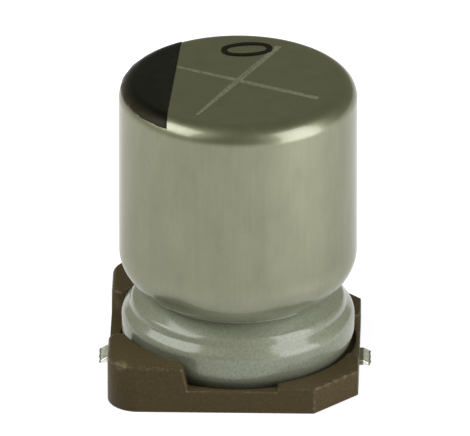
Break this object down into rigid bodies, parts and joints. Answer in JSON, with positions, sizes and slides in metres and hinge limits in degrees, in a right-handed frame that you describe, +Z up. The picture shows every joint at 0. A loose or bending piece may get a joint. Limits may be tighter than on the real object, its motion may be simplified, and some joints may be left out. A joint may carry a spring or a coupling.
{
  "type": "surface-mount aluminium electrolytic capacitor",
  "caption": "Surface-mount electrolytic capacitor: round aluminium can with a rolled groove, black negative mark and scored vent, on a notched square base with flat leads.",
  "frame": {"origin": "on the board plane, under the middle of the square base", "axes": "+Z up along the can's axis, away from the board; +X towards the positive lead; -X towards the negative lead and the black mark"},
  "size_m": [0.0092, 0.0084, 0.0104],
  "materials": {
    "can": "satin, finely drawn up and down",
    "ink": "thin printed ink",
    "base": "moulded, fine grain",
    "lead": "tin plated, rough at the cut tip",
    "tab": "dull",
    "seal": "matt",
    "anode_foil": "etched, matt",
    "cathode_foil": "matt",
    "separator": "soaked in electrolyte",
    "tape": "clear brown film"
  },
  "bodies": {
    "root": {"can": "can", "negative_mark": "ink", "printed_ring": "ink", "base": "base", "positive_lead": "lead", "negative_lead": "lead", "anode_tab": "tab", "cathode_tab": "tab", "rubber_seal": "seal", "anode_foil": "anode_foil", "cathode_foil": "cathode_foil", "inner_separator": "separator", "outer_separator": "separator", "closing_tape": "tape"}
  },
  "joints": []
}
